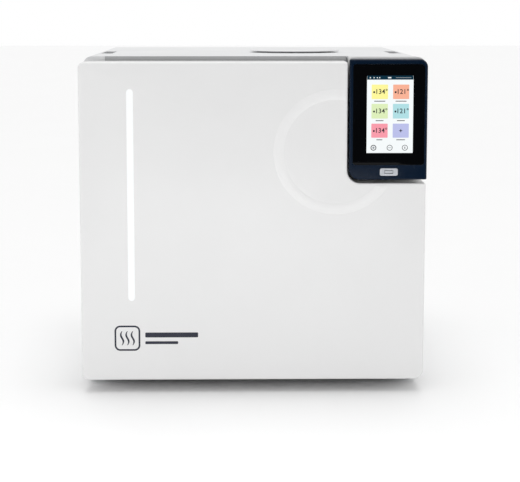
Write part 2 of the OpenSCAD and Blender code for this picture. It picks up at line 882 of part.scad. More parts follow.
// Twin tank for clean and used water, with the filling neck and the lid's hinge lugs
module water_tank() {
    t = 2;
    color(tank_plastic) difference() {
        union() {
            box([-tank_half, tank_half], tank_y, tank_z);
            both_sides() box([tank_half - 1, tank_half + 20], tank_y, near(tank_z[0], 0, 3));
            rod_z(lid_x, lid_y, [tank_z[1] - 1, cover_top - 0.5], 60);
            for (s = [-1, 1]) {
                x = near(lid_x + s * 15.2, -2.8, 2.8);
                box(x, near(lid_axis_y, -3.2, 3.2), [tank_z[1] - 1, lid_axis_z]);
                rod_x(x, lid_axis_y, lid_axis_z, 3.2);
            }
        }
        for (s = [-1, 1])
            box((s > 0 ? [1, tank_half - t] : [t - tank_half, -1]), tank_y + [t, -t], tank_z + [t, -t]);
        rod_z(lid_x, lid_y, [tank_z[1] - 5, tank_z[1]], 53);
        rod_z(lid_x, lid_y, [tank_z[1], cover_top], 56);
        rod_x(near(lid_x, -20, 20), lid_axis_y, lid_axis_z, 1.5 + run_gap);
    }
}

// Strainer basket hanging in the neck
module strainer() {
    z = [tank_z[1] - 44, tank_z[1] + 1.5];
    color(white) difference() {
        union() {
            rod_z(lid_x, lid_y, z, 51);
            rod_z(lid_x, lid_y, [tank_z[1], z[1]], 55.5);
        }
        rod_z(lid_x, lid_y, [z[0] + 1.5, z[1] + 1], 49.5);
        for (i = [0 : 7]) rotate_about(lid_x, lid_y, i * 22.5)
            box([-60, 60], [-2.5, 2.5], near(z[0], 8, 34));
    }
}

module rotate_about(x, y, a) translate([x, y, 0]) rotate(a) children();

// Round lid: a flat disc over a narrower neck, with a plug and a barrel with two pin ends
module tank_lid() {
    neck_r = lid_r - 11;
    color(cover_grey) difference() {
        union() {
            rod_z(lid_x, lid_y, [lid_under, overall_h - 1], lid_r);
            translate([lid_x, lid_y, overall_h - 1]) cylinder(h = 1, r1 = lid_r, r2 = lid_r - 1.5);
            rod_z(lid_x, lid_y, [cover_top + 0.3, lid_under + 0.1], neck_r);
            rod_z(lid_x, lid_y, [cover_top - 6, cover_top + 1], 54);
            box(near(lid_x, -12, 12), [lid_axis_y - 12, lid_axis_y], near(cover_top, 0.3, 3.3));
            rod_x(near(lid_x, -12, 12), lid_axis_y, lid_axis_z, 3);
            rod_x(near(lid_x, -17.8, 17.8), lid_axis_y, lid_axis_z, 1.5);
        }
        rod_z(lid_x, lid_y, [cover_top - 7, cover_top - 1], 51);
    }
}

// ---------------------------------------------------------------- cooling and vacuum

// Finned condenser in front of the fan
module condenser() {
    x = near(fan_x, -56, 56);
    y = [fan_y[0] - 42, fan_y[0] - 2];
    color([0.75, 0.76, 0.78]) {
        for (i = [0 : 13])
            box(x, y, near(fan_z - 54 + i * 8, 0, 1.2));
        for (sx = [-40, -20, 0, 20, 40])
            rod_z(fan_x + sx, (y[0] + y[1]) / 2, near(fan_z, -56, 56), 4.5);
        both_ends(fan_z, 56) box(x, y, [0, 2]);
    }
}

// Repeats its children at a height above and, mirrored, at the same height below a level
module both_ends(z, h) {
    translate([0, 0, z + h]) children();
    translate([0, 0, z - h]) mirror([0, 0, 1]) children();
}

// Square frame of the fan, with the strut that holds the rotor
module fan_frame() {
    corner = 49;
    color(black) difference() {
        union() {
            along_y(fan_y) difference() {
                round_area(near(fan_x, -fan_half, fan_half), near(fan_z, -fan_half, fan_half),
                    [5, 5, 5, 5]);
                translate([fan_x, fan_z]) circle(52);
            }
            for (a = [0, 90])
                translate([fan_x, 0, fan_z]) rotate([0, a + 45, 0])
                    box([-53, 53], [fan_y[0], fan_y[0] + 3], [-2, 2]);
            rod_y(fan_x, [fan_y[0], fan_y[0] + 12], fan_z, 3);
        }
        for (x = [-corner, corner], z = [-corner, corner])
            rod_y(fan_x + x, fan_y + [-1, 1], fan_z + z, 2.2);
    }
}

// Rotor with seven pitched blades
module fan_rotor() {
    y = [fan_y[0] + 4, fan_y[1] - 2];
    color(rubber) difference() {
        union() {
            rod_y(fan_x, y, fan_z, 20);
            for (i = [0 : 6])
                translate([fan_x, (y[0] + y[1]) / 2, fan_z]) rotate([0, i * 360 / 7, 0])
                    rotate([35, 0, 0]) box([18, 49.5], [-1, 1], [-11, 11]);
        }
        rod_y(fan_x, [y[0] - 1, fan_y[0] + 13], fan_z, 3 + run_gap);
    }
}

// Piston vacuum pump: crankcase, motor and two heads, on four pads
module vacuum_pump() {
    low = floor_z + 8;
    color(dark_steel) {
        box([122, 228], [20, 90], [low, low + 70]);
        rod_y(175, [90, 178], low + 36, 36);
        for (x = [148, 202]) {
            rod_z(x, 55, [low + 69, low + 98], 20);
            for (i = [0 : 3]) rod_z(x, 55, near(low + 74 + i * 6, 0, 3), 24);
            box(near(x, -18, 18), [37, 73], [low + 97, low + 110]);
        }
        for (x = [130, 210], y = [26, 74])
            box(near(x, 0, 10), near(y, 0, 10), [floor_z, low + 1]);
    }
}

// Upright steam generator with end caps, on four legs
module steam_generator() {
    x = 178;
    y = -80;
    low = floor_z + 90;
    color(steel) {
        rod_z(x, y, [low + 6, low + 176], 42);
        for (z = [low, low + 174]) rod_z(x, y, [z, z + 8], 45);
        rod_z(x, y, [low + 181, low + 191], 9);
        for (a = [45, 135, 225, 315])
            rotate_about(x, y, a) rod_z(34, 0, [floor_z, low + 1], 4);
    }
}

// ---------------------------------------------------------------- electrics and plumbing

// Power supply in its vented case
module power_supply() {
    x = [4 - side_x, -200];
    color(steel) difference() {
        box(x, [-110, 90], [50, 180]);
        box(x + [1.5, -1.5], [-108.5, 88.5], [51.5, 178.5]);
        for (i = [0 : 11])
            box([-202, -199], near(-98 + i * 16, 0, 8), [70, 160]);
    }
}

// Control board with relays and a heat sink
module control_board() {
    color(board_green) box([231, 232.6], [-180, 10], [100, 310]);
    color(black) for (i = [0 : 4]) {
        box([225, 231], near(-170 + i * 34, 0, 22), [120, 136]);
        box([225, 231], near(-168 + i * 34, 0, 18), [286, 300]);
    }
    color(steel) for (i = [0 : 5]) box([226, 231], [-30 + i * 6, -28 + i * 6], [210, 270]);
}

// Block of solenoid valves under the chamber
module valve_block() {
    top = floor_z + 38;
    color(brass) box([-30, 60], [-190, -140], [floor_z, top]);
    color(black) for (i = [0 : 2]) {
        box(near(i * 28, -24, -4), [-180, -150], [top, top + 26]);
        rod_z(i * 28 - 14, -165, [top + 26, top + 30], 4);
    }
}

// Water pump with its motor
module water_pump() {
    z = floor_z + 36;
    color(dark_steel) rod_x([-110, -60], -60, z, 26);
    color(black) rod_x([-150, -109.9], -60, z, 20);
    color(dark_steel) box([-108, -62], [-76, -44], [floor_z, z - 22]);
}

// Copper pipes between the tank, the generator, the chamber and the pump
module pipework() {
    end_y = chamber_back + 12;
    steam_z = chamber_z + 122;
    drain_z = floor_z + 36;
    cool_y = fan_y[0] - 22;
    color(copper) {
        pipe([[178, -80, floor_z + 281], [178, -80, steam_z], [178, end_y + 10, steam_z],
              [chamber_x, end_y + 10, steam_z], [chamber_x, end_y + 10, chamber_z],
              [chamber_x, end_y, chamber_z]], 4);
        pipe([[chamber_x - 60, chamber_back + 4, chamber_z - 40], [chamber_x - 60, end_y, chamber_z - 40],
              [chamber_x - 60, end_y, drain_z], [76, end_y, drain_z], [76, 60, drain_z],
              [122, 60, drain_z]], 4);
        pipe([[175, 110, floor_z + 80], [175, 110, floor_z + 160], [175, cool_y, floor_z + 160],
              [175, cool_y, fan_z - 58]], 4);
        pipe([[-190, 150, tank_z[0]], [-190, 150, floor_z + 36], [-190, -60, floor_z + 36],
              [-150, -60, floor_z + 36]], 3);
    }
}

// Mains inlet with three pins
module power_inlet() {
    w = inlet_half[0];
    h = inlet_half[1];
    color(black) difference() {
        union() {
            box(near(inlet_x, -w, w), [rear_front - 18, rear_face + 2], near(inlet_z, -h, h));
            box(near(inlet_x, -w - 3, w + 3), [rear_face, rear_face + 2], near(inlet_z, -h - 3, h + 3));
        }
        box(near(inlet_x, 2 - w, w - 2), [rear_front - 14, rear_face + 3],
            near(inlet_z, 3.5 - h, h - 3.5));
    }
    color(steel) for (p = [[-7, -2], [7, -2], [0, 3]])
        box(near(inlet_x + p[0], -1, 1), [rear_front - 15, rear_face], near(inlet_z + p[1], -2, 2));
}

// Two hose barbs on the rear panel
module hose_barbs() {
    color(brass) for (x = barb_x) difference() {
        union() {
            rod_y(x, [rear_front - 14, rear_face + 24], barb_z, barb_r);
            for (y = [rear_front - 4, rear_face])
                translate([x, y, barb_z]) rotate([-90, 0, 0]) cylinder(h = 4, r = 9, $fn = 6);
        }
        rod_y(x, [rear_front - 15, rear_face + 25], barb_z, barb_r - 2);
    }
}

// Safety valve body with its spindle
module safety_valve() {
    color(brass) {
        rod_y(chamber_x, [rear_front - 20, rear_face + 12], valve_z, valve_r);
        translate([chamber_x, rear_face, valve_z]) rotate([-90, 0, 0]) cylinder(h = 6, r = 13.5, $fn = 6);
        rod_y(chamber_x, [rear_face + 11, rear_face + 22], valve_z, 3);
    }
}

// Knurled test cap of the safety valve
module valve_cap() {
    flutes = 14;
    color(silicone) difference() {
        rod_y(chamber_x, [rear_face + 12.4, rear_face + 26], valve_z, 12);
        rod_y(chamber_x, [rear_face + 12, rear_face + 22.6], valve_z, 3 + run_gap);
        for (i = [0 : flutes - 1])
            translate([chamber_x, 0, valve_z]) rotate([0, i * 360 / flutes, 0])
                box([11.2, 13], [rear_face + 14, rear_face + 25], [-1, 1]);
    }
}

// ---------------------------------------------------------------- fasteners and feet

// Case screws on the side skirts, the side panels and the rear panel
module case_screws() {
    color(dark_steel) {
        side_screw_places() screw_y(4, 6);
        rear_screw_places() screw_y(4, 6);
    }
}

// Puts its children at each side screw, with -Y turned outwards
module side_screw_places() {
    both_sides() for (y = [-180, 30, 240], z = [cabinet_bottom + 16, skirt_z + 12])
        translate([side_x, y, z]) rotate([0, 0, 90]) children();
}

// Puts its children at each rear screw, with -Y turned outwards
module rear_screw_places() {
    for (x = [-210, 0, 210], z = [cabinet_bottom + 12, cover_top - 20])
        translate([x, rear_face, z]) rotate([0, 0, 180]) children();
}

// Clearance hole for the shank of a case screw
module screw_hole() rod_y(0, [-1, 5], 0, 2.1);

// Spacers that keep the machine off the wall
module wall_spacers() {
    color(rubber) for (x = [-190, 190], z = [46, 420]) difference() {
        union() {
            rod_y(x, [rear_face, back_y], z, 9);
            rod_y(x, [rear_face, rear_face + 4], z, 13);
        }
        rod_y(x, [back_y - 8, back_y + 1], z, 4);
    }
}

// Two fixed rear feet
module rear_feet() {
    color(rubber) both_sides() {
        rod_z(foot_x, rear_foot_y, [0, foot_h], 18);
        rod_z(foot_x, rear_foot_y, [0, 3], 20);
    }
}

// Levelling foot: pad, nut and threaded stud
module levelling_foot(x) {
    color(rubber) {
        rod_z(x, front_foot_y, [0, 5], 20);
        translate([x, front_foot_y, 5]) cylinder(h = foot_h - 5.3, r = 8, $fn = 6);
        rod_z(x, front_foot_y, [5, floor_z + 14], 4);
    }
}

module left_foot() levelling_foot(-foot_x);

module right_foot() levelling_foot(foot_x);

door_shell();
light_guide();
door_frame();
door_liner();
pressure_plate();
door_gasket();
hinge_leaves();
lock_motor();
lock_bracket();
lock_cam();
upper_bolt();
lower_bolt();
hinge_brackets();
hinge_pins();
front_trim();
chassis();
base_plate();
left_panel();
right_panel();
rear_panel();
top_cover();
carry_grips();
console_housing();
console_bezel();
console_glass();
display_panel();
usb_port();
service_niche();
power_rocker();
bacteria_filter();
hose_couplings();
fill_collar();
drain_collar();
chamber();
heater_bands();
insulation();
tray_rack();
trays();
water_tank();
strainer();
tank_lid();
condenser();
fan_frame();
fan_rotor();
vacuum_pump();
steam_generator();
power_supply();
control_board();
valve_block();
water_pump();
pipework();
power_inlet();
hose_barbs();
safety_valve();
valve_cap();
case_screws();
wall_spacers();
rear_feet();
left_foot();
right_foot();
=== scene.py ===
"""Looks of the benchtop autoclave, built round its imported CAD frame. Lengths are in metres."""

import json
import math

import bmesh
import bpy
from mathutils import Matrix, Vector
from mathutils.geometry import tessellate_polygon

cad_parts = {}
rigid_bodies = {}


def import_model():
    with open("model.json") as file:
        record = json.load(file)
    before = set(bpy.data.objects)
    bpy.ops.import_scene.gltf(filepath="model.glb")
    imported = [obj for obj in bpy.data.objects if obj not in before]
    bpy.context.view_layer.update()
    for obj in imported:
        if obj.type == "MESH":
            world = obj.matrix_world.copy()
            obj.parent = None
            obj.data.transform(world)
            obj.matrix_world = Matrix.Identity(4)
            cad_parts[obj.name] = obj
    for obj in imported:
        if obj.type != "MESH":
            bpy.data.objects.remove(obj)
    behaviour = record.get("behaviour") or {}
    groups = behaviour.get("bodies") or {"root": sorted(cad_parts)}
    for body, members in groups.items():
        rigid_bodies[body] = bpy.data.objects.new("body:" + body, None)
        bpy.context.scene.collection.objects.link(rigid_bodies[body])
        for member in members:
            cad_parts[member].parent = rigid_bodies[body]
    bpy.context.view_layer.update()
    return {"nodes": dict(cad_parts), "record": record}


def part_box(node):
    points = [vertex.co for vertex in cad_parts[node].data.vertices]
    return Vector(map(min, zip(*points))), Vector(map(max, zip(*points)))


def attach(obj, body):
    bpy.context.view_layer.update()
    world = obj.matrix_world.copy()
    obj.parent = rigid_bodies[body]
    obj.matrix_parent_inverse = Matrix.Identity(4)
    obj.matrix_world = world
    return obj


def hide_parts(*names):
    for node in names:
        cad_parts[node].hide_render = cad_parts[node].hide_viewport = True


for leftover in list(bpy.data.objects):
    bpy.data.objects.remove(leftover)
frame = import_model()

MM = 0.001

# ------------------------------------------------------------------ frame measures

DOOR_LOW, DOOR_HIGH = (Vector(c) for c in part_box("door_shell"))
BEZEL_LOW, BEZEL_HIGH = (Vector(c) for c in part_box("console_bezel"))
GLASS_LOW, GLASS_HIGH = (Vector(c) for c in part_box("console_glass"))
SCREEN_LOW, SCREEN_HIGH = (Vector(c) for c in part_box("display_panel"))
USB_LOW, USB_HIGH = (Vector(c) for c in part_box("usb_port"))
GUIDE_LOW, GUIDE_HIGH = (Vector(c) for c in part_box("light_guide"))
BEZEL_RADII = (2 * MM, 11 * MM, 3 * MM, 15 * MM)
GLASS_RADII = (4 * MM, 6 * MM, 4 * MM, 4 * MM)
SCREEN_RADII = [0.3 * MM] * 4
USB_RADIUS = 2.4 * MM
SMOOTH_BELOW = math.radians(35)
SAME_POINT = 1e-6
FRONT = DOOR_LOW.y
COVER_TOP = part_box("top_cover")[1].z
LEAVES_LOW, LEAVES_HIGH = (Vector(c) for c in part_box("hinge_leaves"))
HALF_LEAF = 35 * MM
LEAF_HEIGHTS = (LEAVES_LOW.z + HALF_LEAF, LEAVES_HIGH.z - HALF_LEAF)
NOTCH_SIDE_GAP = 2.4 * MM
NOTCH_LOWER_GAP = 5 * MM
NOTCH_X = BEZEL_LOW.x - NOTCH_SIDE_GAP
NOTCH_Z = BEZEL_LOW.z - NOTCH_LOWER_GAP


# ------------------------------------------------------------------ node helpers

def drift(base, spread):
    """The darkest and the lightest colour within a spread round the base colour."""
    return (tuple(c * (1 - spread) for c in base),
            tuple(min(1.0, c * (1 + spread)) for c in base))


class Nodes:
    """Short names for building one material's node tree. Scales are in features per metre."""

    def __init__(self, name):
        self.material = bpy.data.materials.new(name)
        self.material.use_nodes = True
        self.tree = self.material.node_tree
        self.shader = self.tree.nodes["Principled BSDF"]
        self.place = None

    def add(self, kind, **values):
        """New node; each value goes to the node's property or input of that name."""
        node = self.tree.nodes.new(kind)
        for key, value in values.items():
            if hasattr(node, key):
                setattr(node, key, value)
            else:
                node.inputs[key.replace("_", " ")].default_value = value
        return node

    def link(self, source, target):
        self.tree.links.new(source, target)

    def point(self):
        """Object coordinates, which are the frame's own metres."""
        if self.place is None:
            self.place = self.add("ShaderNodeTexCoord").outputs["Object"]
        return self.place

    def noise(self, scale, detail=3.0, rough=0.55, stretch=None):
        """Cloudy grey values; stretch multiplies the scale along x, y and z."""
        node = self.add("ShaderNodeTexNoise", Scale=scale, Detail=detail, Roughness=rough)
        source = self.point()
        if stretch:
            mapping = self.add("ShaderNodeMapping", Scale=stretch)
            self.link(source, mapping.inputs["Vector"])
            source = mapping.outputs["Vector"]
        self.link(source, node.inputs["Vector"])
        return node.outputs["Fac"]

    def cells(self, scale, feature="F1"):
        """Grey values that grow from the middle of each cell."""
        node = self.add("ShaderNodeTexVoronoi", feature=feature, Scale=scale)
        self.link(self.point(), node.inputs["Vector"])
        return node.outputs["Distance"]

    def ramp(self, source, low, high):
        """Maps a grey value to a range of numbers or colours."""
        node = self.add("ShaderNodeValToRGB")
        node.color_ramp.elements[0].position = 0.3
        node.color_ramp.elements[1].position = 0.7
        for element, value in zip(node.color_ramp.elements, (low, high)):
            element.color = (value, value, value, 1) if isinstance(value, float) else (*value, 1)
        self.link(source, node.inputs["Fac"])
        return node.outputs["Color"]

    def colour(self, base, spread, source):
        """Base colour that drifts a little either way."""
        self.link(self.ramp(source, *drift(base, spread)), self.shader.inputs["Base Color"])

    def roughness(self, low, high, source):
        """Roughness that goes from low to high with the source."""
        self.link(self.ramp(source, float(low), float(high)), self.shader.inputs["Roughness"])

    def bump(self, height, strength, distance, chain=None):
        """Relief of the given depth, laid over the relief of another bump node."""
        node = self.add("ShaderNodeBump", Strength=strength, Distance=distance)
        self.link(height, node.inputs["Height"])
        if chain is not None:
            self.link(chain.outputs["Normal"], node.inputs["Normal"])
        self.link(node.outputs["Normal"], self.shader.inputs["Normal"])
        return node

    def set(self, **values):
        """Sets the shader's own inputs."""
        for key, value in values.items():
            self.shader.inputs[key.replace("_", " ")].default_value = value


def moulded(name, base, rough, spread=0.02, coat=0.0, specular=0.5):
    """Injection-moulded plastic: fine spark-eroded grain, faint flow shading, handling marks."""
    m = Nodes(name)
    m.set(Coat_Weight=coat, Coat_Roughness=0.12, Specular_IOR_Level=specular)
    m.colour(base, spread, m.noise(7.0, detail=4.0))
    m.roughness(rough - 0.05, rough + 0.07, m.noise(35.0, detail=5.0))
    grain = m.bump(m.noise(2600.0, detail=2.0), 0.25, 0.04 * MM)
    m.bump(m.noise(18.0, detail=2.0), 0.05, 0.4 * MM, grain)
    return m.material


def powder_coat(name, base):
    """Powder-coated sheet: orange-peel surface with small colour drift."""
    m = Nodes(name)
    m.set(Specular_IOR_Level=0.45)
    m.colour(base, 0.025, m.noise(9.0, detail=4.0))
    m.roughness(0.44, 0.58, m.noise(60.0, detail=4.0))
    peel = m.bump(m.cells(900.0, "SMOOTH_F1"), 0.35, 0.12 * MM)
    m.bump(m.noise(1800.0), 0.25, 0.05 * MM, peel)
    return m.material


def brushed(name, base, rough=0.28, stretch=(1, 60, 60)):
    """Brushed steel: long fine scratches one way, smudges over them."""
    m = Nodes(name)
    m.set(Metallic=1.0)
    lines = m.noise(40.0, detail=6.0, rough=0.7, stretch=stretch)
    m.colour(base, 0.08, lines)
    m.roughness(rough - 0.08, rough + 0.12, m.noise(14.0, detail=5.0))
    m.bump(lines, 0.18, 0.04 * MM)
    return m.material


def satin_plate(name, base):
    """Satin-plated plastic: half metallic, with a fine blasted grain."""
    m = Nodes(name)
    m.set(Metallic=0.35)
    m.colour(base, 0.05, m.noise(90.0, detail=4.0))
    m.roughness(0.32, 0.46, m.noise(150.0, detail=4.0))
    m.bump(m.noise(3200.0, detail=2.0), 0.2, 0.03 * MM)
    return m.material


def polished(name, base):
    """Electropolished steel: mirror-like with faint swirls and a little waviness."""
    m = Nodes(name)
    m.set(Metallic=1.0)
    m.colour(base, 0.03, m.noise(11.0))
    m.roughness(0.05, 0.16, m.noise(22.0, detail=6.0))
    m.bump(m.noise(9.0, detail=2.0), 0.06, 0.6 * MM)
    return m.material


def zinc(name, base):
    """Zinc-plated sheet: soft crystalline patches and a dull sheen."""
    m = Nodes(name)
    m.set(Metallic=0.85)
    patches = m.cells(320.0)
    m.colour(base, 0.035, patches)
    m.roughness(0.30, 0.48, m.noise(50.0, detail=4.0))
    m.bump(m.noise(700.0, detail=2.0), 0.15, 0.04 * MM)
    return m.material


def cast_metal(name, base):
    """Painted or phosphated casting: coarse skin and worn high spots."""
    m = Nodes(name)
    m.set(Metallic=0.35)
    m.colour(base, 0.18, m.noise(30.0, detail=5.0))
    m.roughness(0.42, 0.62, m.noise(80.0, detail=4.0))
    m.bump(m.noise(450.0, detail=5.0), 0.4, 0.18 * MM)
    return m.material


def machined(name, base, rough=0.25):
    """Turned brass or copper: fine rings and slight tarnish."""
    m = Nodes(name)
    m.set(Metallic=1.0)
    m.colour(base, 0.14, m.noise(45.0, detail=5.0))
    m.roughness(rough - 0.06, rough + 0.14, m.noise(70.0, detail=4.0))
    m.bump(m.noise(60.0, rough=0.6, stretch=(30, 1, 30)), 0.12, 0.04 * MM)
    return m.material


def soft_rubber(name, base, rough=0.62):
    """Moulded rubber or silicone: dull, dusty in places, faint mould texture."""
    m = Nodes(name)
    m.set(Specular_IOR_Level=0.3, Sheen_Weight=0.15)
    m.colour(base, 0.12, m.noise(40.0, detail=5.0))
    m.roughness(rough - 0.08, rough + 0.1, m.noise(55.0, detail=4.0))
    m.bump(m.noise(1400.0), 0.3, 0.06 * MM)
    return m.material


def felt(name, base):
    """Glass-wool felt: tangled fibres and soft lumps."""
    m = Nodes(name)
    m.set(Roughness=0.95, Specular_IOR_Level=0.1, Sheen_Weight=0.3)
    m.colour(base, 0.16, m.noise(90.0, detail=6.0, rough=0.75))
    lumps = m.bump(m.noise(60.0), 0.5, 2 * MM)
    m.bump(m.noise(700.0, detail=6.0, rough=0.8, stretch=(1, 6, 1)), 0.6, 0.4 * MM, lumps)
    return m.material


def dark_glass(name, base, specular):
    """Hardened cover glass, dark behind and almost without reflection, faintly smudged."""
    m = Nodes(name)
    m.set(Specular_IOR_Level=specular)
    m.colour(base, 0.08, m.noise(12.0))
    m.roughness(0.03, 0.10, m.noise(28.0, detail=6.0))
    m.bump(m.noise(5.0, detail=2.0), 0.03, 0.3 * MM)
    return m.material


def lit(name, base, strength):
    """Lit area of a display or lamp, with a slight unevenness of its backlight."""
    unlit_share = 0.1
    m = Nodes(name)
    m.set(Roughness=0.25, Specular_IOR_Level=0.2, Emission_Strength=strength)
    m.set(Base_Color=(*(c * unlit_share for c in base), 1))
    glow = m.ramp(m.noise(16.0, detail=2.0), *drift(base, 0.02))
    m.link(glow, m.shader.inputs["Emission Color"])
    m.bump(m.noise(900.0, detail=1.0), 0.02, 0.02 * MM)
    return m.material


# ------------------------------------------------------------------ mesh helpers

class Solid:
    """Collects the points and faces of one piece; each face keeps its material's number."""

    def __init__(self):
        self.verts = []
        self.faces = []
        self.kinds = []

    def stack(self, loops, kind=0):
        """Side faces between closed loops that all have the same number of points."""
        start = len(self.verts)
        count = len(loops[0])
        for loop in loops:
            self.verts.extend(loop)
        for level in range(len(loops) - 1):
            low = start + level * count
            for i in range(count):
                j = (i + 1) % count
                self.faces.append((low + i, low + j, low + count + j, low + count + i))
                self.kinds.append(kind)

    def cap(self, loops, kind=0):
        """Flat area bounded by the first loop, with the other loops as holes."""
        start = len(self.verts)
        flat = [[Vector((p[0], p[2], 0)) for p in loop] for loop in loops]
        for loop in loops:
            self.verts.extend(loop)
        for triangle in tessellate_polygon(flat):
            self.faces.append(tuple(start + i for i in triangle))
            self.kinds.append(kind)

    def slab(self, points, front, back, kind=0):
        """Flat outline with square edges, from its front to its back."""
        loops = [lift(points, back), lift(points, front)]
        self.stack(loops, kind)
        self.cap([loops[0]], kind)
        self.cap([loops[1]], kind)

    def mesh_object(self, name):
        """Makes the plain object, shaded smooth over its blunt edges."""
        mesh = bpy.data.meshes.new(name)
        mesh.from_pydata([tuple(v) for v in self.verts], [], self.faces)
        mesh.polygons.foreach_set("material_index", self.kinds)
        work = bmesh.new()
        work.from_mesh(mesh)
        bmesh.ops.remove_doubles(work, verts=work.verts, dist=SAME_POINT)
        bmesh.ops.recalc_face_normals(work, faces=work.faces)
        work.to_mesh(mesh)
        work.free()
        mesh.polygons.foreach_set("use_smooth", [True] * len(mesh.polygons))
        mesh.set_sharp_from_angle(angle=SMOOTH_BELOW)
        obj = bpy.data.objects.new(name, mesh)
        bpy.context.scene.collection.objects.link(obj)
        return obj

    def piece(self, name, materials, body, replaced=(), slot=None):
        """Makes the object with its materials and puts it on its body."""
        obj = self.mesh_object(name)
        for material in materials:
            obj.data.materials.append(MATERIALS[material])
        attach(obj, body)
        if replaced:
            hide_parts(*replaced)
        return obj


def lift(points, y):
    """Points of a flat outline, placed at depth y."""
    return [(x, y, z) for x, z in points]


def corner(centre, radius, start, turn=90.0, inward=False):
    """One rounded corner of an outline; inward marks a corner whose centre is outside."""
    return {"centre": centre, "radius": radius, "start": start, "turn": turn, "inward": inward}


def outline(corners, inset=0.0, steps=10):
    """Points of a closed outline with rounded corners, drawn in by inset."""
    points = []
    for c in corners:
        x, z = c["centre"]
        radius = c["radius"] + inset if c["inward"] else max(c["radius"] - inset, SAME_POINT)
        for i in range(steps + 1):
            a = math.radians(c["start"] + c["turn"] * i / steps)
            points.append((x + radius * math.cos(a), z + radius * math.sin(a)))
    return points


def circle(centre, radius, sides):
    """Points of a closed circle."""
    return outline([corner(centre, radius, 0, 360 * (sides - 1) / sides)], steps=sides - 1)


def rect_corners(low, high, radii):
    """Corners of a rectangle: lower right, upper right, upper left, lower left."""
    x0, z0 = low
    x1, z1 = high
    br, tr, tl, bl = radii
    return [
        corner((x1 - br, z0 + br), br, -90),
        corner((x1 - tr, z1 - tr), tr, 0),
        corner((x0 + tl, z1 - tl), tl, 90),
        corner((x0 + bl, z0 + bl), bl, 180),
    ]


def fillet_loops(corners, front, radius, steps=6):
    """Loops of a rounded edge that runs from the side wall onto the flat face at front."""
    loops = []
    for i in range(steps + 1):
        a = math.radians(90.0 * i / steps)
        inset = radius * (1 - math.cos(a))
        loops.append(lift(outline(corners, inset), front + radius * (1 - math.sin(a))))
    return loops


def plate(corners, front, back, radius, holes, lip):
    """Plate with a rounded front edge; each hole is a corner list, cut through with a chamfer."""
    solid = Solid()
    rim = [lift(outline(corners), back)] + fillet_loops(corners, front, radius)
    solid.stack(rim)
    fronts = [rim[-1]]
    backs = [rim[0]]
    for hole in holes:
        edge = [lift(outline(hole, -lip), front), lift(outline(hole), front + lip),
                lift(outline(hole), back)]
        solid.stack(edge)
        fronts.append(edge[0])
        backs.append(edge[-1])
    solid.cap(fronts)
    solid.cap(backs)
    return solid


def subtract(piece, cutter):
    """Takes the cutter out of a piece and removes it."""
    modifier = piece.modifiers.new("cut", "BOOLEAN")
    modifier.object = cutter
    modifier.operation = "DIFFERENCE"
    bpy.context.view_layer.update()
    graph = bpy.context.evaluated_depsgraph_get()
    mesh = bpy.data.meshes.new_from_object(piece.evaluated_get(graph))
    piece.modifiers.clear()
    piece.data = mesh
    bpy.data.objects.remove(cutter)


def cut(piece, low, high):
    """Takes the box between two corners out of a piece."""
    solid = Solid()
    solid.slab([(low[0], low[2]), (high[0], low[2]), (high[0], high[2]), (low[0], high[2])],
               low[1], high[1])
    subtract(piece, solid.mesh_object("cutter"))


def soften(node, width):
    """Rounds the machined edges of a CAD node without touching its own mesh."""
    flat_below, edge_above = math.radians(0.4), math.radians(38)
    obj = frame["nodes"][node]
    flat = obj.modifiers.new("flatten", "DECIMATE")
    flat.decimate_type = "DISSOLVE"
    flat.angle_limit = flat_below
    edge = obj.modifiers.new("edges", "BEVEL")
    edge.width = width
    edge.segments = 2
    edge.limit_method = "ANGLE"
    edge.angle_limit = edge_above
    edge.use_clamp_overlap = True
    edge.harden_normals = True


# ------------------------------------------------------------------ materials

def srgb(red, green, blue):
    """Linear colour of a display colour given in steps of 255."""
    return tuple(((c / 255 + 0.055) / 1.055) ** 2.4 for c in (red, green, blue))


